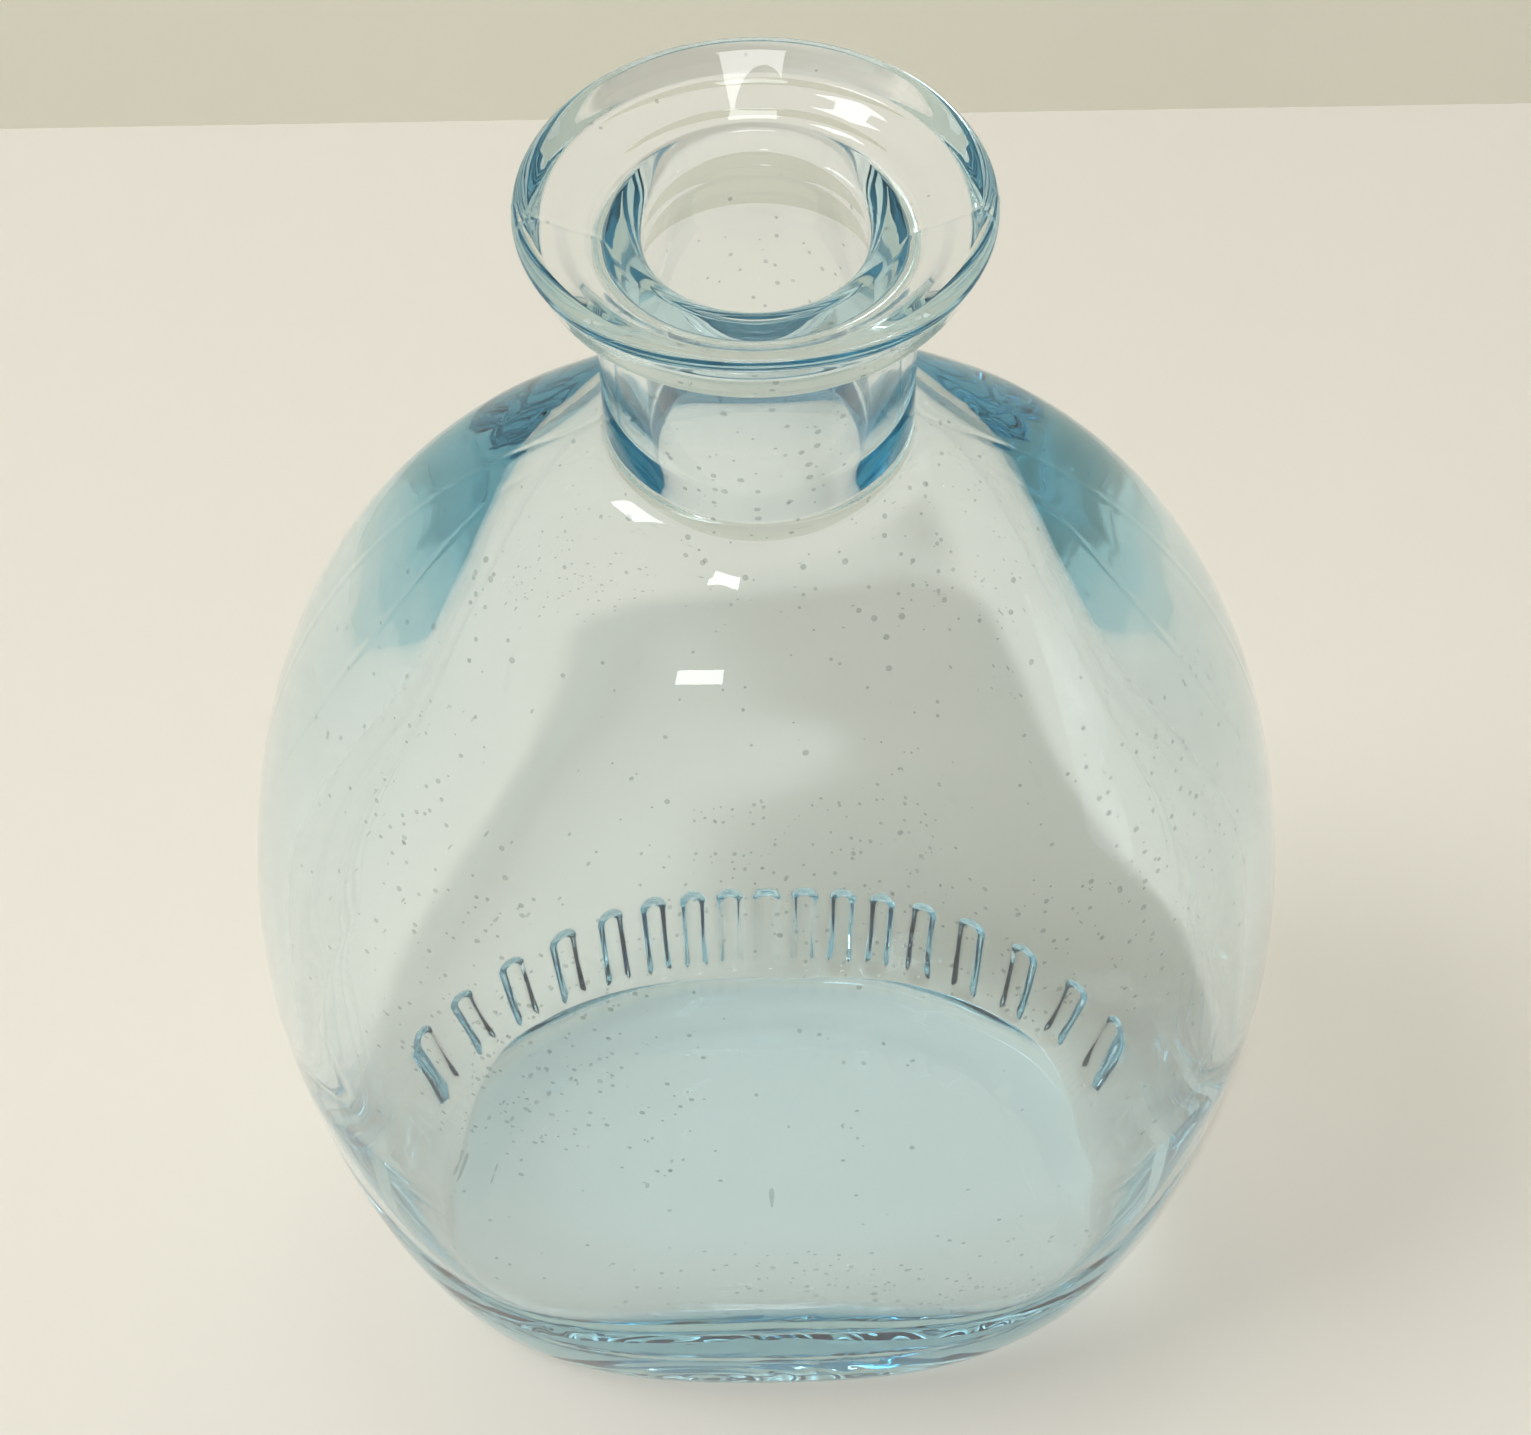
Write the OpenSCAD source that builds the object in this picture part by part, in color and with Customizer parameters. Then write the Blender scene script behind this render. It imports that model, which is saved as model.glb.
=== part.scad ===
// Spirits bottle of thick pale blue glass, moulded in one piece.
// The body is a flattened globe on an oval foot, under a short round neck
// and a wide dished lip. The bottle stands on its foot: the origin is the
// middle of the foot, +Z is up, X runs along the wide side, and +Y is the
// back, where a row of raised beads follows the foot.

/* [Overall] */
// Height from the foot to the top of the lip
total_h = 188; // [180:1:215]

/* [Body outside] */
// Width of the body at its widest
body_w = 123.2; // [100:0.2:150]
// Depth of the body at its widest
body_d = 81.2; // [66:0.2:110]
// Height of the widest section
widest_z = 67.2; // [52:0.2:82]
// Height at which the curve of the shoulders would close
crown_z = 158.4; // [140:0.2:165]
// Fullness of the shoulders, where 2 is an ellipse
crown_fullness = 2.15; // [1.8:0.05:2.6]
// Squareness of the body seen from above, where 2 is an ellipse
body_squareness = 2.3; // [2:0.05:3]

/* [Foot] */
// Width of the foot
foot_w = 85.8; // [60:0.2:96]
// Depth of the foot
foot_d = 57.4; // [44:0.2:64]
// Squareness of the foot seen from above
foot_squareness = 2.6; // [2:0.05:3.4]
// Roundness of the heel, where less is a softer heel
heel_fullness = 1.54; // [1.3:0.02:2]
// Width of the flat ring that the bottle rests on
rest_ring_w = 4.2; // [2:0.2:8]
// Rise of the underside inside the resting ring
push_up_h = 1.8; // [0.6:0.1:4]

/* [Cavity] */
// Thickness of the glass at the edge of the floor
floor_t = 11.2; // [5:0.1:14]
// Rise of the floor from its edge to its middle
floor_rise = 1.6; // [0:0.1:4]
// Width of the floor inside
floor_w = 78.6; // [50:0.2:88]
// Depth of the floor inside
floor_d = 51.4; // [36:0.2:60]
// Squareness of the floor seen from above
floor_squareness = 3.6; // [2:0.05:4.4]
// Squareness of the cavity seen from above
cavity_squareness = 2.35; // [2:0.05:3]
// Thickness of the wall at the narrow sides
side_wall_t = 4.7; // [2:0.1:8]
// Thickness of the wall at the front and back
front_wall_t = 5.9; // [2:0.1:8]
// Height of the cavity's widest section
cavity_widest_z = 54.4; // [46:0.2:92]
// Height at which the curve of the cavity's roof would close
roof_z = 155.2; // [134:0.2:157]
// Fullness of the roof across the bottle
side_roof_fullness = 2.68; // [1.3:0.02:3.2]
// Fullness of the roof from front to back
front_roof_fullness = 2.34; // [1.3:0.02:3.2]
// Fullness of the lower corner across the bottle
side_corner_fullness = 1.5; // [1.3:0.02:3.4]
// Fullness of the lower corner from front to back
front_corner_fullness = 1.8; // [1.3:0.02:3.4]
// Share by which the cavity draws in under the side shoulders, which thickens them
side_draw_in_share = 0.18; // [0:0.001:0.3]
// Share by which the cavity draws in under the front and back shoulders
front_draw_in_share = 0.02; // [0:0.001:0.3]
// Height at which the cavity draws in the most
draw_in_z = 138.8; // [90:0.2:150]
// Span of height over which the cavity draws in
draw_in_span = 35.6; // [8:0.2:50]

/* [Neck and lip] */
// Diameter of the neck
neck_dia = 32.2; // [28:0.2:38]
// Softness of the curve from the shoulders into the neck
neck_blend = 6; // [2:0.5:10]
// Diameter of the bore in the neck
bore_dia = 22.2; // [18:0.2:26]
// Softness of the curve from the bore into the cavity
throat_blend = 11.4; // [2:0.1:16]
// Diameter of the lip
lip_dia = 47.2; // [40:0.2:54]
// Height of the lip's side
lip_side_h = 5.6; // [3.5:0.1:9]
// Amount by which the lip's side draws in towards its lower edge
lip_draft = 1.4; // [0:0.1:3]
// Radius of the lip's upper edge
lip_edge_r = 1.5; // [0.6:0.1:2.5]
// Radius of the lip's lower edge
lip_low_edge_r = 0.8; // [0.3:0.1:1.5]
// Radius of the hollow under the lip
lip_cove_r = 3; // [1:0.1:5]
// Depth of the dished top, from the lip's crest to the mouth
dish_depth = 3.4; // [1:0.1:5]
// Radius of the rounded edge of the mouth
mouth_r = 2.8; // [1:0.1:4]

/* [Beads] */
// Number of beads in the row
bead_count = 17; // [0:1:25]
// Diameter of a bead
bead_dia = 3.8; // [1.6:0.1:4.8]
// Length of a bead
bead_len = 13.6; // [6:0.2:18]
// Height of the middle of the beads
bead_z = 13.4; // [9:0.2:24]
// Amount by which the beads stand out of the wall
bead_proud = 1.1; // [0.3:0.1:1.6]
// Angle round the bottle from the first bead to the last
bead_sweep = 142; // [60:1:170]

/* [Smoothness] */
// Number of facets round the body
columns = 72; // [48:4:96]
// Rows of facets from the foot to the widest section
lower_rows = 14; // [8:1:24]
// Rows of facets from the widest section to the neck
upper_rows = 20; // [10:1:30]

/* [Hidden] */

neck_r = neck_dia / 2;
bore_r = bore_dia / 2;
lip_r = lip_dia / 2;
lip_low_r = lip_r - lip_draft;
lip_low_z = total_h - lip_side_h;
// The lofted shells end a little inside the turned neck and bore
loft_tuck = 0.2;
skin_neck_r = neck_r - loft_tuck;
cavity_neck_r = bore_r - loft_tuck;
floor_z = floor_t;
cavity_w = body_w - 2 * side_wall_t;
cavity_d = body_d - 2 * front_wall_t;
// Height above the widest section by which the draw-in has set in
draw_in_start = 15;
// Rows across the domed floor, as shares of its size
floor_steps = [0.85, 0.65, 0.4, 0.15];
// A curve's share of the radius over which it squares up below the neck
square_up = 0.4;
// Depth by which a turned piece reaches into a lofted one
lap = 9;
// Rows across a foot or floor, as shares of its size
push_up_steps = [0.15, 0.4, 0.6, 0.75, 0.88];

// Quarter superellipse: 1 at t = 0, falling to 0 at t = 1
function swell(t, p) = pow(max(0, 1 - pow(min(1, max(0, t)), p)), 1 / p);

// Larger of two lengths, with the corner between them eased over a span
function eased_max(a, b, span) =
    let (h = max(span - abs(a - b), 0) / span) max(a, b) + h * h * span / 4;

// Half the size of a section at height z. It grows from the low end to the
// widest section, and then closes in as a crown that is eased into a neck.
function half_at(z, low_z, mid_z, top_z, low, mid, neck, low_p, top_p, blend, draw = 0) =
    z < mid_z
        ? low + (mid - low) * swell((mid_z - z) / (mid_z - low_z), low_p)
        : eased_max(neck, mid * swell((z - mid_z) / (top_z - mid_z), top_p)
                    * (1 - draw * draw_in_bell(z, mid_z)), blend);

// Bell curve of height for the draw-in, nothing at the widest section
function draw_in_bell(z, mid_z) =
    exp(-pow((z - draw_in_z) / draw_in_span, 2)) * (1 - exp(-pow((z - mid_z) / draw_in_start, 2)));

// Squareness of a section: that of the foot, easing to that of the body,
// and to a circle where the section closes in on the neck
function squareness_at(z, low_z, mid_z, half, neck, mid, low_sq, mid_sq) =
    let (up = min(1, max(0, (half - neck) / (mid - neck) / square_up)),
         down = pow(max(0, (mid_z - z) / (mid_z - low_z)), 2))
    2 + (mid_sq - 2) * up + (low_sq - mid_sq) * down;

// One closed ring of points, a superellipse of half sizes a and b
function ring(a, b, p, z) = [
    for (i = [0 : columns - 1])
        let (t = 360 * i / columns, c = cos(t), s = sin(t))
        [a * sign(c) * pow(abs(c), 2 / p), b * sign(s) * pow(abs(s), 2 / p), z]
];

// Heights of the rows, closest together where the outline turns fastest
function row_heights(low_z, mid_z, top_z) = concat(
    [for (i = [0 : lower_rows - 1]) mid_z - (mid_z - low_z) * cos(90 * i / lower_rows)],
    [for (i = [0 : upper_rows]) mid_z + (top_z - mid_z) * sin(90 * i / upper_rows)]);

// Half size of the outer skin at height z, for the foot's and the body's size
function skin_half(z, foot, body) =
    half_at(z, 0, widest_z, crown_z, foot / 2, body / 2, skin_neck_r,
            heel_fullness, crown_fullness, neck_blend);

// Squareness of the outer skin at height z, where half its width is a
function skin_squareness(z, a) =
    squareness_at(z, 0, widest_z, a, skin_neck_r, body_w / 2,
                  foot_squareness, body_squareness);

// Ring of the outer skin at height z
function outer_ring(z) =
    let (a = skin_half(z, foot_w, body_w), b = skin_half(z, foot_d, body_d))
    ring(a, b, skin_squareness(z, a), z);

// Half size of the cavity at height z, for the floor's and the cavity's size
function cavity_half(z, low, mid, low_p, top_p, draw) =
    half_at(z, floor_z, cavity_widest_z, roof_z, low / 2, mid / 2, cavity_neck_r,
            low_p, top_p, throat_blend, draw);

// Ring of the cavity at height z
function cavity_ring(z) =
    let (a = cavity_half(z, floor_w, cavity_w, side_corner_fullness, side_roof_fullness,
                         side_draw_in_share),
         b = cavity_half(z, floor_d, cavity_d, front_corner_fullness, front_roof_fullness,
                         front_draw_in_share),
         p = squareness_at(z, floor_z, cavity_widest_z, a, cavity_neck_r, cavity_w / 2,
                           floor_squareness, cavity_squareness))
    ring(a, b, p, z);

// Ring of the domed floor, at a share s of the floor's size
function floor_ring(s) =
    ring(floor_w / 2 * s, floor_d / 2 * s, floor_squareness, floor_z + floor_rise * (1 - s * s));

// Solid skinned over a stack of rings, closed by a flat face at each end
module loft(rings) {
    last = len(rings) - 1;
    side = [
        for (r = [0 : last - 1], i = [0 : columns - 1])
            let (j = (i + 1) % columns, q = r * columns)
            each [[q + i, q + columns + i, q + columns + j], [q + i, q + columns + j, q + j]]
    ];
    low_end = [[for (i = [0 : columns - 1]) i]];
    high_end = [[for (i = [columns - 1 : -1 : 0]) last * columns + i]];
    polyhedron(points = [for (r = rings) each r], faces = concat(side, low_end, high_end));
}

// Outer skin of the body, from the foot to just inside the neck
module body_skin() {
    loft([for (z = row_heights(0, widest_z, crown_z)) outer_ring(z)]);
}

// Space inside the body, from the domed floor to just inside the bore
module body_cavity() {
    loft(concat([for (i = [len(floor_steps) - 1 : -1 : 0]) floor_ring(floor_steps[i])],
                [for (z = row_heights(floor_z, cavity_widest_z, roof_z)) cavity_ring(z)]));
}

// Shallow dome taken out of the underside, inside the resting ring
module push_up() {
    edge_a = foot_w / 2 - rest_ring_w;
    edge_b = foot_d / 2 - rest_ring_w;
    loft(concat(
        [ring(edge_a, edge_b, foot_squareness, -1), ring(edge_a, edge_b, foot_squareness, 0)],
        [for (i = [len(push_up_steps) - 1 : -1 : 0])
            let (s = push_up_steps[i])
            ring(edge_a * s, edge_b * s, foot_squareness, push_up_h * swell(s, 2))]));
}

// Half section of the neck and the lip, turned about the axis
module neck_section() {
    square_bottom = crown_z - lap;
    crest_r = lip_r - lip_edge_r;
    crest_z = total_h - lip_edge_r;
    cove_z = lip_low_z - (lip_low_r - neck_r - lip_cove_r) / 2;
    difference() {
        union() {
            translate([0, square_bottom]) square([neck_r, total_h - dish_depth - square_bottom]);
            polygon([
                [0, total_h - dish_depth], [0, cove_z - lip_cove_r],
                [neck_r + lip_cove_r, cove_z - lip_cove_r], [neck_r + lip_cove_r, cove_z],
                [lip_low_r - lip_low_edge_r, lip_low_z], [lip_low_r, lip_low_z + lip_low_edge_r],
                [lip_r, crest_z], [crest_r, total_h], [bore_r + mouth_r, total_h - dish_depth]
            ]);
            translate([crest_r, crest_z]) circle(r = lip_edge_r, $fn = 96);
            translate([lip_low_r - lip_low_edge_r, lip_low_z + lip_low_edge_r])
                circle(r = lip_low_edge_r, $fn = 96);
        }
        translate([neck_r + lip_cove_r, cove_z - lip_cove_r]) circle(r = lip_cove_r, $fn = 96);
        translate([neck_r + lip_cove_r, cove_z - 2 * lip_cove_r]) square(lip_cove_r * 2);
    }
}

// Half section of the bore, with the rounded edge of its mouth
module bore_section() {
    mouth_z = total_h - dish_depth;
    difference() {
        translate([0, roof_z - lap]) square([bore_r + mouth_r, mouth_z + 1 - (roof_z - lap)]);
        translate([bore_r + mouth_r, mouth_z - mouth_r]) circle(r = mouth_r, $fn = 96);
        translate([bore_r, roof_z - lap - 1]) square([mouth_r + 1, mouth_z - mouth_r - (roof_z - lap) + 1]);
    }
}

// Row of upright beads round the back of the foot, each laid along the wall
module bead_row() {
    half_len = (bead_len - bead_dia) / 2;
    for (i = [0 : bead_count - 1]) {
        t = 90 + bead_sweep * (bead_count > 1 ? i / (bead_count - 1) - 0.5 : 0);
        low = bead_seat(t, bead_z - half_len);
        high = bead_seat(t, bead_z + half_len);
        bead(low, high);
    }
}

// Point of a bead's axis at height z, on the ray at angle t round the bottle
function bead_seat(t, z) =
    let (a = skin_half(z, foot_w, body_w), b = skin_half(z, foot_d, body_d),
         p = skin_squareness(z, a), c = cos(t), s = sin(t),
         r = pow(pow(abs(c) / a, p) + pow(abs(s) / b, p), -1 / p) + bead_proud - bead_dia / 2)
    [r * c, r * s, z];

// Round-ended bar between two points
module bead(low, high) {
    d = high - low;
    turn = atan2(d[1], d[0]);
    lean = acos(d[2] / norm(d));
    translate(low) rotate([0, lean, turn]) {
        cylinder(h = norm(d), d = bead_dia, $fn = 48);
        sphere(d = bead_dia, $fn = 48);
        translate([0, 0, norm(d)]) sphere(d = bead_dia, $fn = 48);
    }
}

module bottle() {
    color([0.72, 0.86, 0.9, 0.5])
    difference() {
        union() {
            body_skin();
            rotate_extrude($fn = 144) neck_section();
            bead_row();
        }
        body_cavity();
        rotate_extrude($fn = 144) bore_section();
        push_up();
    }
}

bottle();
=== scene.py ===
import math

import bpy
import numpy as np
from mathutils import Matrix, Vector


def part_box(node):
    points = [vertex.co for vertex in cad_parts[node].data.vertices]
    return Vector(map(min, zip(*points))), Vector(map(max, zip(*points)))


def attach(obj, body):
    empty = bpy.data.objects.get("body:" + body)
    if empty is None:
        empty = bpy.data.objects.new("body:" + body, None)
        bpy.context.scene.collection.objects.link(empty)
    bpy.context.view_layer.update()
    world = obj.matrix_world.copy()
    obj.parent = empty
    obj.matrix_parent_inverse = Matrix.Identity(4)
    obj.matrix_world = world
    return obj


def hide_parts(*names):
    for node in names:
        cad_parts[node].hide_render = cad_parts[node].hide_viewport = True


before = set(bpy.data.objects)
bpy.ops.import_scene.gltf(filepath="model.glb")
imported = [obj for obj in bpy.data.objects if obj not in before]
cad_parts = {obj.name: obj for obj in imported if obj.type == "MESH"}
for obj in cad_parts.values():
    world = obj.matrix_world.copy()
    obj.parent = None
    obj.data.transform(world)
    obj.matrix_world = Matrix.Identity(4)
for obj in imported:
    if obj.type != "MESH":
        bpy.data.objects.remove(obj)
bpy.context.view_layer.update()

mm = 0.001                      # the bottle, the room and the camera are in millimetres
bottleLow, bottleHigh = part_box("bottle")
bottleSize = [(high - low) / mm for low, high in zip(bottleLow, bottleHigh)]


# Curves that the whole bottle is made of

def swell(t, p):
    # quarter superellipse: (1 - t^p)^(1/p), 1 at t = 0 and 0 at t = 1
    return np.maximum(0, 1 - np.clip(t, 0, 1) ** p) ** (1 / p)


def easedMax(a, b, span):
    # larger of the two, plus span/4 * (1 - |a-b|/span)^2 where they are close
    h = np.maximum(span - np.abs(a - b), 0) / span
    return np.maximum(a, b) + h * h * span / 4


def halfAt(z, s, side):
    # half size at height z, across or from front to back: start + (wide-start) * swell
    # below the widest section, where the curve starts by the corner's depth under the
    # low end and passes the low size there, and above it wide * swell, drawn in at the
    # shoulders by a bell curve, and eased into the neck's radius
    wide, p = s["wide"][side], s["lowFullness"][side]
    reach = s["midZ"] - s["lowZ"] + s["corner"][side]
    w = swell(1 - s["corner"][side] / reach, p)
    start = (s["low"][side] - wide * w) / (1 - w)
    under = start + (wide - start) * swell((s["midZ"] - z) / reach, p)
    over = wide * swell((z - s["midZ"]) / (s["topZ"] - s["midZ"]), s["topFullness"][side])
    above = np.maximum(z - s["midZ"], 0)
    bell = np.exp(-((z - s["drawZ"]) / s["drawSpan"]) ** 2) * (1 - np.exp(-(above / s["drawStart"]) ** 2))
    over = over * (1 - s["drawIn"][side] * bell)
    return np.where(z < s["midZ"], under, easedMax(s["neckR"], over, s["blend"]))


def squarenessAt(z, s, a):
    # 2 (a circle) at the neck, midSquare on the body, lowSquare at the low end
    up = np.clip((a - s["neckR"]) / (s["wide"][0] - s["neckR"]) / s["squareUp"], 0, 1)
    down = np.clip((s["midZ"] - z) / (s["midZ"] - s["lowZ"]), 0, 1) ** 2
    return 2 + (s["midSquare"] - 2) * up + (s["lowSquare"] - s["midSquare"]) * down


def shellRows(z, s):
    # one row per height: half width, half depth, squareness, height
    a, b = halfAt(z, s, 0), halfAt(z, s, 1)
    return np.stack([a, b, squarenessAt(z, s, a), z], 1)


def turnedRows(profile):
    # one row per point of a turned profile: radius, radius, 2, height
    r, z = np.array(profile).T
    return np.stack([r, r, np.full_like(r, 2.0), z], 1)


def arc(x, z, r, start, end, steps):
    # points x + r cos(t), z + r sin(t), from start to end in degrees
    t = np.radians(np.linspace(start, end, steps))
    return list(zip(x + r * np.cos(t), z + r * np.sin(t)))


def line(start, end, steps):
    # evenly spaced points from start to end, without the first
    return [tuple(p) for p in np.linspace(start, end, steps + 1)[1:]]


# The bottle: outer skin, neck, lip, mouth, bore, cavity and floor as one grid

# sizes in millimetres; pairs are across and from front to back. low, wide: half sizes at
# lowZ and midZ, which corner, fullness, drawIn and blend shape between them (see halfAt)
seam = {"height": 0.05, "halfWidth": 0.4, "inset": 0.06, "rowsPastSkin": 32}
outer = {
    "lowZ": 0.0, "midZ": 67.2, "topZ": 158.4,
    "low": (42.9, 28.7), "corner": (0.0, 0.0),
    "wide": (bottleSize[0] / 2 - seam["inset"], bottleSize[1] / 2),
    "lowFullness": (1.54, 1.54), "topFullness": (2.15, 2.15),
    "drawIn": (0, 0), "drawZ": 138.8, "drawSpan": 35.6, "drawStart": 15.0,
    "lowSquare": 2.6, "midSquare": 2.3, "squareUp": 0.4,
    "neckR": 16.1, "blend": 6.0,
    "restRing": 4.2, "pushUp": 1.8,
}
inner = {
    "lowZ": 11.2, "midZ": 54.4, "topZ": 155.2,
    "low": (40.3, 26.5), "corner": (6.0, 12.0), "wide": (56.9, 34.7),
    "lowFullness": (1.6, 1.6), "topFullness": (2.68, 2.34),
    "drawIn": (0.18, 0.02), "drawZ": 138.8, "drawSpan": 35.6, "drawStart": 15.0,
    "lowSquare": 3.6, "midSquare": 2.35, "squareUp": 0.4,
    "neckR": 11.1, "blend": 11.4, "floorRise": 1.6,
}
lip = {
    "topZ": bottleSize[2], "radius": 23.6, "sideHeight": 5.6, "draft": 1.4,
    "edgeR": 1.5, "lowEdgeR": 0.8, "coveR": 3.0,
    "dish": 3.4, "mouthR": 2.8, "stepDepth": 9.2, "step": 0.25,
}
beads = {
    "count": 17, "diameter": 3.8, "length": 13.6, "midZ": 13.4,
    "proud": 1.1, "sweep": 142.0, "ease": 0.8, "clearZ": 4.0,
    "rowStep": 0.5, "rowMargin": 1.0, "rowGap": 0.3, "reach": 1.5,
}
# columns and rows of the grid: angles in degrees, shares of the way to a face's edge
mesh = {
    "backFrom": 21.0, "backColumns": 250, "frontColumns": 76,
    "seamSteps": (0.4, 0.9, 1.6), "seamGap": 0.4,
    "underShares": (0.02, 0.25, 0.45, 0.62, 0.76, 0.87, 0.94, 1.0),
    "footRows": 40, "riseRows": 52, "fallRows": 56, "lowRows": 38,
    "floorShares": (0.992, 0.97, 0.9, 0.8, 0.7, 0.6, 0.5, 0.4, 0.3, 0.2, 0.1, 0.02),
}


def columnAngles():
    # closest together over the beads at the back, with a few more on each seam
    low = mesh["backFrom"]
    back = np.linspace(low, 180 - low, mesh["backColumns"])
    front = np.linspace(180 - low, 360 + low, mesh["frontColumns"])[1:-1]
    steps = np.array(mesh["seamSteps"])
    atSeams = np.concatenate([[0, 180], steps, -steps, 180 + steps, 180 - steps])
    front = front[np.abs((front + 90) % 180 - 90) > steps.max() + mesh["seamGap"]]
    return np.radians(np.sort(np.concatenate([back, front, atSeams]) % 360))


def outerRows():
    # pushed-up underside, then the foot with rows close together over the beads, then
    # the body up to the neck
    share = np.array(mesh["underShares"])[:, None]
    half = (np.array(outer["low"]) - outer["restRing"]) * share
    under = np.column_stack([half, np.full(len(share), outer["lowSquare"]),
                             outer["pushUp"] * swell(share[:, 0], 2)])
    reach = beads["length"] / 2 + beads["rowMargin"]
    beadZ = np.arange(beads["midZ"] - reach, beads["midZ"] + reach, beads["rowStep"])
    foot = outer["midZ"] * (1 - np.cos(np.linspace(0, math.pi / 2, mesh["footRows"])))
    gap = beads["rowGap"]
    foot = np.concatenate([foot[(foot < beadZ[0] - gap) | (foot > beadZ[-1] + gap)], beadZ])
    turn = np.linspace(0, math.pi / 2, mesh["riseRows"])[1:]
    rise = outer["midZ"] + (outer["topZ"] - outer["midZ"]) * np.sin(turn)
    return np.concatenate([under, shellRows(np.sort(np.concatenate([foot, rise])), outer)])


def lipRows():
    # neck, hollow under the lip, side, crest, dish, mouth and bore, as arcs joined by
    # lines that stop a few tenths of a millimetre short, so that the edges stay soft
    top, r, neckR = lip["topZ"], lip["radius"], outer["neckR"]
    lowR, lowZ = r - lip["draft"], top - lip["sideHeight"]
    coveR = lip["coveR"]
    coveZ = lowZ - (lowR - neckR - coveR) / 2
    crest = (r - lip["edgeR"], top - lip["edgeR"])
    e = lip["lowEdgeR"]
    mouthZ = top - lip["dish"]
    m = lip["mouthR"]
    boreR = inner["neckR"]
    stepZ = top - lip["stepDepth"]
    points = line((neckR, outer["topZ"]), (neckR, coveZ - coveR), 6)
    points += arc(neckR + coveR, coveZ - coveR, coveR, 180, 95, 8)[1:]
    points += line(points[-1], (lowR - e - 0.3, lowZ - 0.1), 3)
    points += arc(lowR - e, lowZ + e, e, -70, -5, 6)
    points += line(points[-1], (r - 0.03, crest[1] - 0.1), 4)
    points += arc(*crest, lip["edgeR"], 0, 98, 12)
    points += line(points[-1], (boreR + m + 0.4, mouthZ + 0.1), 8)
    points += arc(boreR + m, mouthZ - m, m, 88, 180, 12)
    points += line(points[-1], (boreR, stepZ + 0.5), 3)
    points += line(points[-1], (boreR + lip["step"], stepZ - 0.5), 3)
    points += line(points[-1], (boreR + lip["step"], inner["topZ"] + 6), 4)
    points += line(points[-1], (boreR, inner["topZ"] + 0.6), 3)
    return turnedRows(points)


def innerRows():
    # cavity from the bore down to the floor's edge, then the domed floor
    turn = np.linspace(math.pi / 2, 0, mesh["fallRows"])
    fall = inner["midZ"] + (inner["topZ"] - inner["midZ"]) * np.sin(turn)
    turn = np.linspace(math.pi / 2, 0, mesh["lowRows"])[1:]
    low = inner["midZ"] - (inner["midZ"] - inner["lowZ"]) * np.cos(turn)
    walls = shellRows(np.concatenate([fall, low]), inner)
    s = np.array(mesh["floorShares"])
    floor = np.column_stack([inner["low"][0] * s, inner["low"][1] * s, np.full(len(s), inner["lowSquare"]),
                             inner["lowZ"] + inner["floorRise"] * (1 - s * s)])
    return np.concatenate([walls, floor])


def gridPoints(rows, angles):
    # x = a sign(cos t)|cos t|^(2/p), y = b sign(sin t)|sin t|^(2/p)
    a, b, p, z = rows.T[:, :, None]
    c, s = np.cos(angles)[None], np.sin(angles)[None]
    x = a * np.sign(c) * np.abs(c) ** (2 / p)
    y = b * np.sign(s) * np.abs(s) ** (2 / p)
    return np.stack([x, y, z + 0 * x], -1)


def gridNormals(points):
    # cross product of the step along a row and the step to the next row
    along = np.roll(points, -1, 1) - np.roll(points, 1, 1)
    up = np.gradient(points, axis=0)
    n = np.cross(along, up)
    return n / np.maximum(np.linalg.norm(n, axis=-1, keepdims=True), 1e-9)


def beadSeats(z):
    # axis points of the beads at height z: on the ray at each bead's angle,
    # the wall's distance plus proud minus the bead's radius
    t = np.radians(90 + beads["sweep"] * np.linspace(-0.5, 0.5, beads["count"]))
    a, b, p, _ = shellRows(np.array([z]), outer)[0]
    reach = (np.abs(np.cos(t) / a) ** p + np.abs(np.sin(t) / b) ** p) ** (-1 / p)
    reach = reach + beads["proud"] - beads["diameter"] / 2
    return np.stack([reach * np.cos(t), reach * np.sin(t), np.full_like(t, z)], 1)


def beadLift(points, normals):
    # how far each point moves along its normal to lie on the nearest bead:
    # sqrt(r^2 - side^2) - depth, eased to nothing beside the bead
    r = beads["diameter"] / 2
    half = (beads["length"] - beads["diameter"]) / 2
    lift = np.full(points.shape[:2], -9.0)
    for low, high in zip(beadSeats(beads["midZ"] - half), beadSeats(beads["midZ"] + half)):
        axis = high - low
        share = np.clip(((points - low) @ axis) / (axis @ axis), 0, 1)
        d = points - (low + share[..., None] * axis)
        depth = (d * normals).sum(-1)
        side2 = (d * d).sum(-1) - depth ** 2
        h = np.sqrt(np.maximum(r * r - side2, 0)) - depth
        lift = np.maximum(lift, np.where(side2 < (2 * r) ** 2, h, -9))
    return easedMax(lift, 0, beads["ease"])


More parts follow.
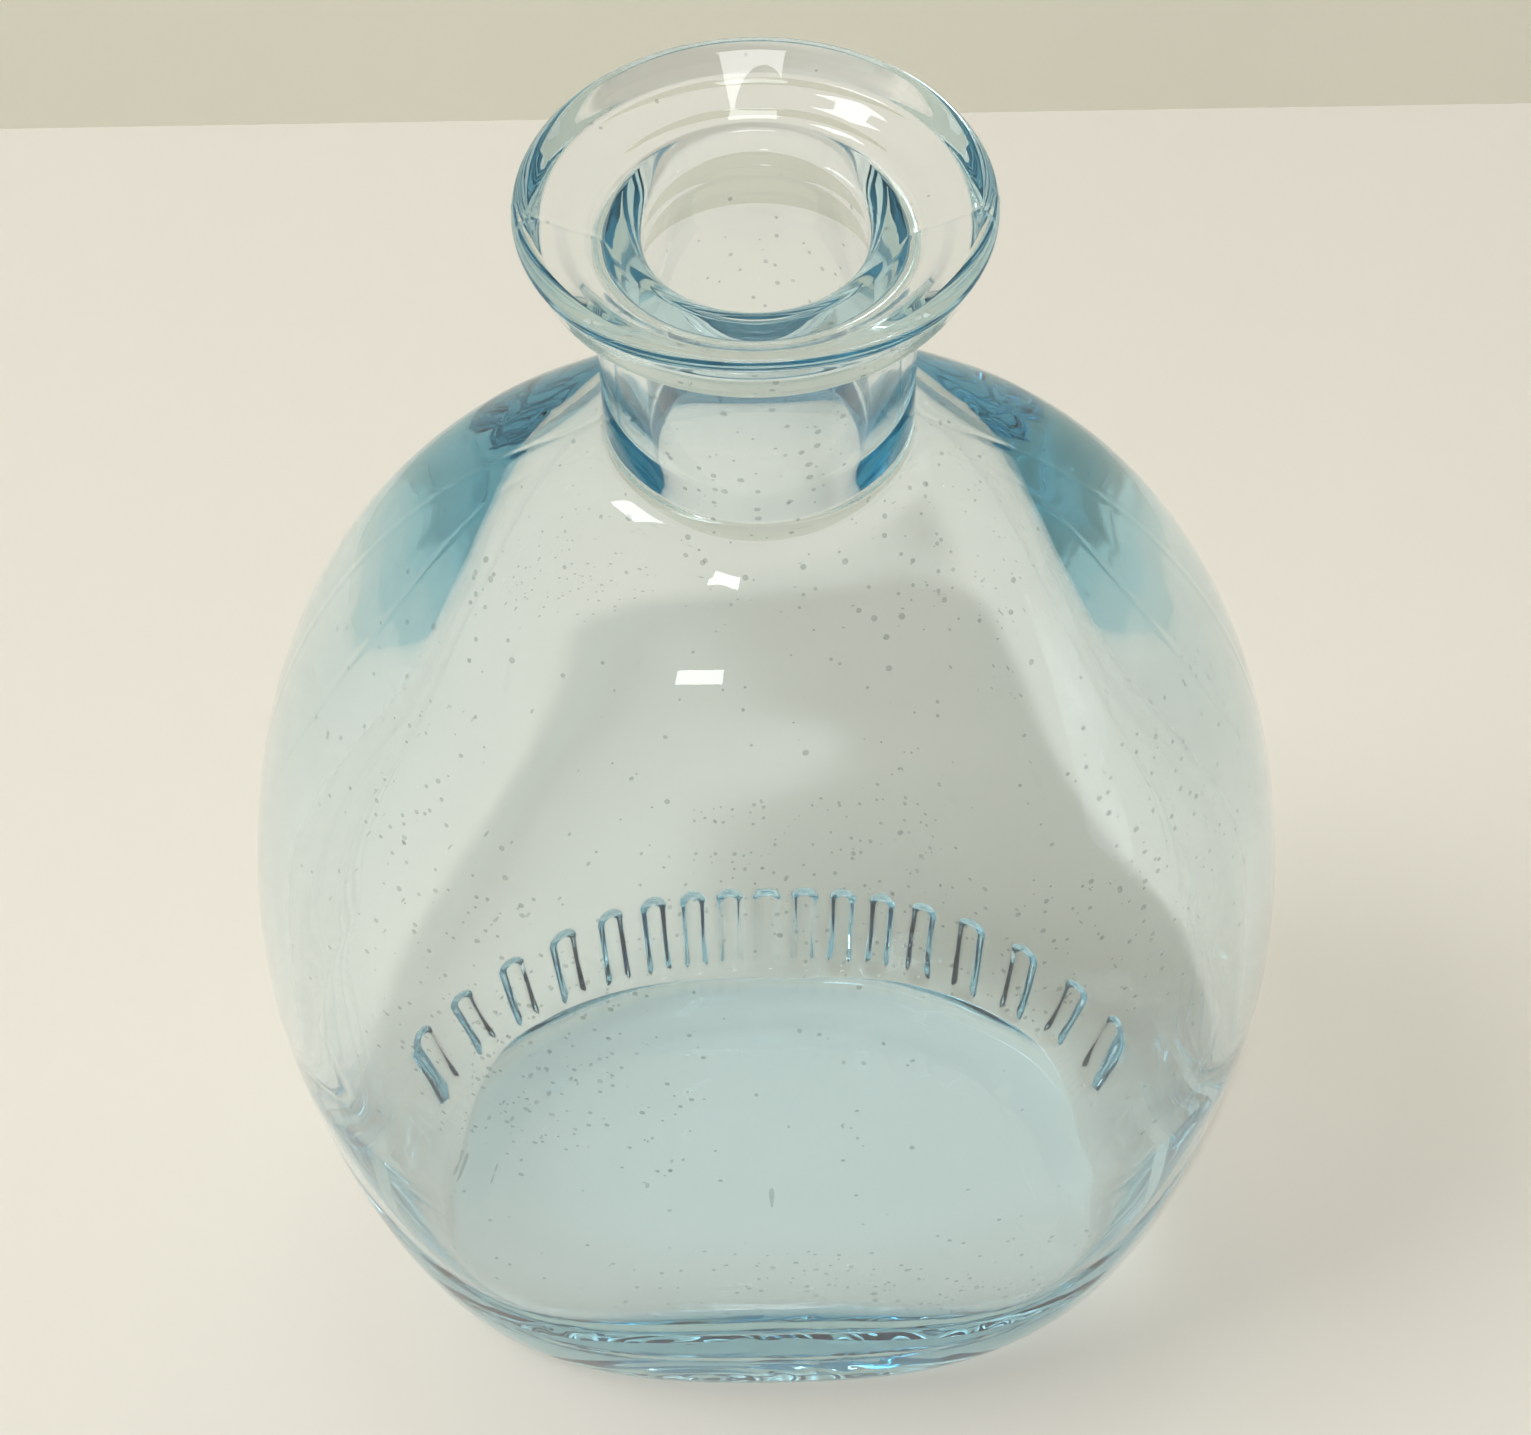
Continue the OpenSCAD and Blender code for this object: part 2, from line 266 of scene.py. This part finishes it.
def buildBottle():
    angles = columnAngles()
    skin, turned, hollow = outerRows(), lipRows(), innerRows()
    points = gridPoints(np.concatenate([skin, turned, hollow]), angles)
    normals = gridNormals(points)
    row = np.arange(len(points))
    lift = np.zeros(points.shape[:2])
    near = np.abs(points[:, 0, 2] - beads["midZ"]) < beads["length"] / 2 + beads["reach"]
    near &= row < len(skin)
    lift[near] = beadLift(points[near], normals[near])
    lift[near] -= lift[near].min()
    # nothing is lifted where the foot turns under the bottle
    clear = np.clip(points[..., 2] / beads["clearZ"], 0, 1)
    lift *= clear ** 2
    # the seam is a low bell-shaped ridge at both sides, up to the lip
    ridge = seam["height"] * np.exp(-(points[..., 1] / seam["halfWidth"]) ** 2)
    outside = (row > len(mesh["underShares"])) & (row < len(skin) + seam["rowsPastSkin"])
    lift[outside] += (ridge * clear)[outside]
    points = points + lift[..., None] * normals
    rowCount, columnCount = points.shape[:2]
    poles = [[0, 0, outer["pushUp"]], [0, 0, inner["lowZ"] + inner["floorRise"]]]
    verts = np.concatenate([points.reshape(-1, 3), poles]) * mm
    i = np.arange(rowCount - 1)[:, None] * columnCount
    j = np.arange(columnCount)[None]
    k = (j + 1) % columnCount
    quads = np.stack([i + j, i + k, i + columnCount + k, i + columnCount + j], -1).reshape(-1, 4)
    ring = np.arange(columnCount)
    after = (ring + 1) % columnCount
    last = (rowCount - 1) * columnCount
    lowFan = np.stack([after, ring, np.full_like(ring, len(verts) - 2)], 1)
    highFan = np.stack([last + ring, last + after, np.full_like(ring, len(verts) - 1)], 1)
    shape = bpy.data.meshes.new("bottle")
    shape.from_pydata(verts.tolist(), [], quads.tolist() + lowFan.tolist() + highFan.tolist())
    shape.polygons.foreach_set("use_smooth", np.ones(len(shape.polygons), bool))
    shape.update()
    piece = bpy.data.objects.new("bottle_glass", shape)
    bpy.context.collection.objects.link(piece)
    print("bottle:", rowCount, "rows,", columnCount, "columns")
    return piece


glass = {
    "ior": 1.5, "roughness": 0.0,
    "tint": (0.25, 0.67, 0.785, 1), "density": 17.0,
    # painted shadow: share of light that a shadow ray keeps at a surface it crosses face on, set by place
    # on the glass for the lamps in front and at the left rather than worked out from the glass's optics:
    # near the floor and towards the lamps (clearShare) and on the walls away from them (shadeShare)
    "clearShare": 0.93, "shadeShare": 0.05, "clearPower": 3.0,
    "shadeDirection": (0.7, 0.7), "shadeFrom": 0.010, "shadeTo": 0.028,
    "floorFrom": 0.012, "floorTo": 0.020,
    # painted pool of light in that shadow, a clearer patch on the back wall: centre across and up, and
    # reach
    "paintedLightCentre": (-0.008, 0.059), "paintedLightReach": (0.024, 0.026), "paintedLightFrom": 0.2,
}
# sizes in metres; scale is cells or waves per metre, depth the height of the relief
surface = {
    "waveScale": 60.0, "waveDepth": 0.00008,
    "seedScale": 700.0, "seedRadius": 0.26, "seedColor": (0.5, 0.53, 0.52, 1),
    "patchScale": 22.0, "patchFrom": 0.48, "patchTo": 0.62, "seedsInPatch": 0.60, "seedsBetween": 0.06,
    "ripplePitch": 0.0050, "rippleDepth": 0.000022, "floorFrom": 0.009, "floorTo": 0.0135,
    "rippleCentre": (-0.008, -0.002), "rippleReach": (0.039, 0.0245), "rippleFade": 0.7,
}


def mathNode(tree, operation, *values):
    # a Math node whose inputs are numbers or other nodes' outputs
    node = tree.nodes.new("ShaderNodeMath")
    node.operation = operation
    for socket, value in zip(node.inputs, values):
        if isinstance(value, (int, float)):
            socket.default_value = value
        else:
            tree.links.new(value, socket)
    return node.outputs[0]


def axesOf(tree, place):
    # the X, Y and Z of a place, in metres
    split = tree.nodes.new("ShaderNodeSeparateXYZ")
    tree.links.new(place, split.inputs[0])
    return split.outputs


def sumOfSquares(tree, a, b):
    return mathNode(tree, "ADD", mathNode(tree, "MULTIPLY", a, a), mathNode(tree, "MULTIPLY", b, b))


def stepNode(tree, value, low, high):
    # 0 below low, 1 above high, smooth between
    node = tree.nodes.new("ShaderNodeMapRange")
    node.interpolation_type = "SMOOTHSTEP"
    tree.links.new(value, node.inputs["Value"])
    node.inputs["From Min"].default_value = low
    node.inputs["From Max"].default_value = high
    return node.outputs["Result"]


def noiseNode(tree, place, scale):
    # one smooth layer of noise, from 0 to 1
    node = tree.nodes.new("ShaderNodeTexNoise")
    node.inputs["Scale"].default_value = scale
    node.inputs["Detail"].default_value = 0
    tree.links.new(place, node.inputs["Vector"])
    return node.outputs["Fac"]


def seedMask(tree, place):
    # 1 inside a seed: cells whose random share is high, more of them in patches
    cells = tree.nodes.new("ShaderNodeTexVoronoi")
    cells.inputs["Scale"].default_value = surface["seedScale"]
    tree.links.new(place, cells.inputs["Vector"])
    split = tree.nodes.new("ShaderNodeSeparateColor")
    tree.links.new(cells.outputs["Color"], split.inputs["Color"])
    radius = mathNode(tree, "MULTIPLY", split.outputs["Red"], surface["seedRadius"])
    dot = mathNode(tree, "LESS_THAN", cells.outputs["Distance"], radius)
    patches = noiseNode(tree, place, surface["patchScale"])
    patches = stepNode(tree, patches, surface["patchFrom"], surface["patchTo"])
    share = mathNode(tree, "ADD", mathNode(tree, "MULTIPLY", patches, surface["seedsInPatch"]),
                     surface["seedsBetween"])
    return mathNode(tree, "MULTIPLY", dot, mathNode(tree, "LESS_THAN", split.outputs["Green"], share))


def surfaceHeight(tree, place):
    # height of the relief: broad waves all over, and rings on the floor
    waves = mathNode(tree, "MULTIPLY", noiseNode(tree, place, surface["waveScale"]), surface["waveDepth"])
    x, y, z = axesOf(tree, place)
    fromCentre = sumOfSquares(tree, mathNode(tree, "SUBTRACT", x, surface["rippleCentre"][0]),
                              mathNode(tree, "SUBTRACT", y, surface["rippleCentre"][1]))
    radius = mathNode(tree, "SQRT", fromCentre)
    rings = mathNode(tree, "SINE", mathNode(tree, "MULTIPLY", radius, 2 * math.pi / surface["ripplePitch"]))
    reach = sumOfSquares(tree, mathNode(tree, "DIVIDE", x, surface["rippleReach"][0]),
                         mathNode(tree, "DIVIDE", y, surface["rippleReach"][1]))
    onFloor = mathNode(tree, "MULTIPLY", mathNode(tree, "LESS_THAN", z, surface["floorTo"]),
                       mathNode(tree, "GREATER_THAN", z, surface["floorFrom"]))
    fade = mathNode(tree, "SUBTRACT", 1.0, stepNode(tree, reach, surface["rippleFade"], 1.0))
    inside = mathNode(tree, "MULTIPLY", fade, onFloor)
    rings = mathNode(tree, "MULTIPLY", mathNode(tree, "MULTIPLY", rings, inside), surface["rippleDepth"])
    return mathNode(tree, "ADD", waves, rings)


def shadowShare(tree, place):
    # painted shadow: the light that a shadow ray keeps, set by place on the glass: less round the outline
    # and on the walls away from the lamps, and nearly all of it face on, near the floor and in a painted
    # patch of light on the back wall
    facing = tree.nodes.new("ShaderNodeLayerWeight").outputs["Facing"]
    edge = mathNode(tree, "SUBTRACT", 1.0, mathNode(tree, "POWER", facing, glass["clearPower"]))
    x, y, z = axesOf(tree, place)
    up = stepNode(tree, z, glass["floorFrom"], glass["floorTo"])
    away = mathNode(tree, "ADD", mathNode(tree, "MULTIPLY", x, glass["shadeDirection"][0]),
                    mathNode(tree, "MULTIPLY", y, glass["shadeDirection"][1]))
    shade = mathNode(tree, "MULTIPLY", up, stepNode(tree, away, glass["shadeFrom"], glass["shadeTo"]))
    # painted light: inside this patch on the back wall the painted shade is lifted, so the cast shadow is
    # lighter there
    across = mathNode(tree, "DIVIDE", mathNode(tree, "SUBTRACT", x, glass["paintedLightCentre"][0]),
                      glass["paintedLightReach"][0])
    rise = mathNode(tree, "DIVIDE", mathNode(tree, "SUBTRACT", z, glass["paintedLightCentre"][1]),
                    glass["paintedLightReach"][1])
    outside = stepNode(tree, sumOfSquares(tree, across, rise), glass["paintedLightFrom"], 1.0)
    shade = mathNode(tree, "MULTIPLY", shade, outside)
    lost = mathNode(tree, "MULTIPLY", shade, glass["clearShare"] - glass["shadeShare"])
    return mathNode(tree, "MULTIPLY", edge, mathNode(tree, "SUBTRACT", glass["clearShare"], lost))


def glassMaterial():
    # clear glass with seeds and a gentle relief, coloured by its depth
    material = bpy.data.materials.new("pale_blue_glass")
    material.use_nodes = True
    tree = material.node_tree
    shader = tree.nodes["Principled BSDF"]
    shader.inputs["Roughness"].default_value = glass["roughness"]
    shader.inputs["IOR"].default_value = glass["ior"]
    shader.inputs["Transmission Weight"].default_value = 1
    relief = tree.nodes.new("ShaderNodeBump")
    relief.inputs["Strength"].default_value = 1
    relief.inputs["Distance"].default_value = 1
    place = tree.nodes.new("ShaderNodeTexCoord").outputs["Object"]
    tree.links.new(surfaceHeight(tree, place), relief.inputs["Height"])
    tree.links.new(relief.outputs["Normal"], shader.inputs["Normal"])
    seeded = tree.nodes.new("ShaderNodeMix")
    seeded.data_type = "RGBA"
    # sockets 6, 7 and output 2 of a Mix node are its colours
    seeded.inputs[6].default_value = (1, 1, 1, 1)
    seeded.inputs[7].default_value = surface["seedColor"]
    tree.links.new(seedMask(tree, place), seeded.inputs[0])
    tree.links.new(seeded.outputs[2], shader.inputs["Base Color"])
    # a shadow ray meets a see-through surface instead, which lets its painted share of light on
    through = tree.nodes.new("ShaderNodeBsdfTransparent")
    tree.links.new(shadowShare(tree, place), through.inputs["Color"])
    blend = tree.nodes.new("ShaderNodeMixShader")
    path = tree.nodes.new("ShaderNodeLightPath")
    tree.links.new(path.outputs["Is Shadow Ray"], blend.inputs[0])
    tree.links.new(shader.outputs[0], blend.inputs[1])
    tree.links.new(through.outputs[0], blend.inputs[2])
    tree.links.new(blend.outputs[0], tree.nodes["Material Output"].inputs["Surface"])
    body = tree.nodes.new("ShaderNodeVolumeAbsorption")
    body.inputs["Color"].default_value = glass["tint"]
    body.inputs["Density"].default_value = glass["density"]
    tree.links.new(body.outputs["Volume"], tree.nodes["Material Output"].inputs["Volume"])
    return material


bottle = buildBottle()
bottle.data.materials.append(glassMaterial())
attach(bottle, "root")
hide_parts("bottle")
print("glass done")


# Table, wall, light and camera

room = {
    "tableColor": (0.752, 0.723, 0.655, 1), "wallColor": (0.80, 0.78, 0.66, 1),
    "roughness": 0.9, "specular": 0.1,
    "wallY": 221.0, "reach": 6000.0, "drop": 0.05,
    "plainShare": 0.1, "plainFrom": 0.5, "plainTo": 1.8,
    "skyColor": (1.0, 0.96, 0.87, 1), "skyStrength": 0.05, "seenSkyStrength": 0.74,
    "lampAim": 0.08,
}
# each lamp: bearing in degrees (0 is behind the camera, 90 is to the right),
# height above the horizon in degrees, distance in metres, width, depth, power and
# whether gloss and glass show the lamp itself
lamps = {
    "key": (-8, 60, 2.0, 0.10, 0.10, 19.5, False, False),
    "frontWindow": (-8, 18, 2.0, 0.24, 0.12, 1.0, True, True),
    "ceiling": (176, 84, 1.8, 0.34, 0.22, 1.6, True, True),
    "left": (-75, 60, 1.8, 0.6, 0.6, 12.5, False, True),
}


def seenRays(tree):
    # 1 for rays from the camera, in gloss and through glass, and 0 for the rest
    path = tree.nodes.new("ShaderNodeLightPath")
    direct = mathNode(tree, "MAXIMUM", path.outputs["Is Camera Ray"], path.outputs["Is Glossy Ray"])
    return mathNode(tree, "MAXIMUM", direct, path.outputs["Is Transmission Ray"])


def stageMaterial(name, color):
    # a lit surface with a small share of its plain colour, which keeps the shadows soft,
    # and nothing at all from behind, so that other views aren't blocked
    material = bpy.data.materials.new(name)
    material.use_nodes = True
    tree = material.node_tree
    nodes, links = tree.nodes, tree.links
    shader = nodes["Principled BSDF"]
    shader.inputs["Base Color"].default_value = color
    shader.inputs["Roughness"].default_value = room["roughness"]
    shader.inputs["Specular IOR Level"].default_value = room["specular"]
    plain = nodes.new("ShaderNodeEmission")
    plain.inputs["Color"].default_value = color
    front = nodes.new("ShaderNodeMixShader")
    # the share grows with the distance from the bottle, where the lamps' light fades
    distance = nodes.new("ShaderNodeVectorMath")
    distance.operation = "LENGTH"
    links.new(nodes.new("ShaderNodeTexCoord").outputs["Object"], distance.inputs[0])
    fade = stepNode(tree, distance.outputs["Value"], room["plainFrom"], room["plainTo"])
    share = mathNode(tree, "MULTIPLY_ADD", fade, 1 - room["plainShare"], room["plainShare"])
    links.new(mathNode(tree, "MULTIPLY", seenRays(tree), share), front.inputs[0])
    links.new(shader.outputs[0], front.inputs[1])
    links.new(plain.outputs[0], front.inputs[2])
    through = nodes.new("ShaderNodeBsdfTransparent")
    bothSides = nodes.new("ShaderNodeMixShader")
    links.new(nodes.new("ShaderNodeNewGeometry").outputs["Backfacing"], bothSides.inputs[0])
    links.new(front.outputs[0], bothSides.inputs[1])
    links.new(through.outputs[0], bothSides.inputs[2])
    links.new(bothSides.outputs[0], nodes["Material Output"].inputs["Surface"])
    return material


def stagePlane(name, corners, color):
    shape = bpy.data.meshes.new(name)
    shape.from_pydata([[c * mm for c in corner] for corner in corners], [], [(0, 1, 2, 3)])
    shape.materials.append(stageMaterial(name, color))
    piece = bpy.data.objects.new(name, shape)
    bpy.context.collection.objects.link(piece)


def hangLamp(name, bearing, rise, distance, width, depth, power, inGloss, inGlass):
    # an area lamp on a sphere round the bottle, turned to face it
    data = bpy.data.lights.new(name, "AREA")
    data.shape = "RECTANGLE"
    data.size, data.size_y, data.energy = width, depth, power
    t, e = math.radians(bearing), math.radians(rise)
    away = Vector((math.sin(t) * math.cos(e), -math.cos(t) * math.cos(e), math.sin(e)))
    piece = bpy.data.objects.new(name, data)
    piece.location = away * distance + Vector((0, 0, room["lampAim"]))
    piece.rotation_euler = away.to_track_quat("Z", "Y").to_euler()
    piece.visible_glossy, piece.visible_transmission = inGloss, inGlass
    bpy.context.collection.objects.link(piece)


far, back, down = room["reach"], room["wallY"], -room["drop"]
stagePlane("table", [(-far, -far, down), (far, -far, down), (far, far, down), (-far, far, down)],
           room["tableColor"])
stagePlane("wall", [(-far, back, down), (far, back, down), (far, back, far), (-far, back, far)],
           room["wallColor"])

world = bpy.data.worlds.new("sky")
bpy.context.scene.world = world
world.use_nodes = True
world.node_tree.nodes["Background"].inputs["Color"].default_value = room["skyColor"]
skyStrength = mathNode(world.node_tree, "MULTIPLY_ADD", seenRays(world.node_tree),
                       room["seenSkyStrength"] - room["skyStrength"], room["skyStrength"])
world.node_tree.links.new(skyStrength, world.node_tree.nodes["Background"].inputs["Strength"])
for name, values in lamps.items():
    hangLamp(name, *values)

# camera: how far back and how high, degrees down and of roll, and focal length and
# picture centre in pixels of the whole picture
view = {
    "back": 245.25, "height": 417.3, "down": 51.72, "roll": -0.96,
    "focal": 3450.15, "imageWidth": 1531, "centreX": 763.9, "sensor": 36,
}


def makeCamera():
    # looks down at the given angle from in front of the bottle, turned by the roll
    data = bpy.data.cameras.new("camera")
    data.sensor_fit = "HORIZONTAL"
    data.sensor_width = view["sensor"]
    data.lens = view["focal"] / view["imageWidth"] * data.sensor_width
    data.shift_x = (view["imageWidth"] / 2 - view["centreX"]) / view["imageWidth"]
    down, roll = math.radians(view["down"]), math.radians(view["roll"])
    ahead = Vector((0, math.cos(down), -math.sin(down)))
    up = Vector((0, math.sin(down), math.cos(down)))
    right = Vector((1, 0, 0))
    across = right * math.cos(roll) + up * math.sin(roll)
    over = up * math.cos(roll) - right * math.sin(roll)
    piece = bpy.data.objects.new("camera", data)
    turn = Matrix((across, over, -ahead)).transposed().to_4x4()
    piece.matrix_world = Matrix.Translation((0, -view["back"] * mm, view["height"] * mm)) @ turn
    bpy.context.collection.objects.link(piece)
    bpy.context.scene.camera = piece


makeCamera()

# light runs a long way inside thick glass before it comes out
scene = bpy.context.scene
scene.view_settings.view_transform = "Standard"
scene.cycles.max_bounces = 36
scene.cycles.glossy_bounces = 30
scene.cycles.transmission_bounces = 30
print("room done")
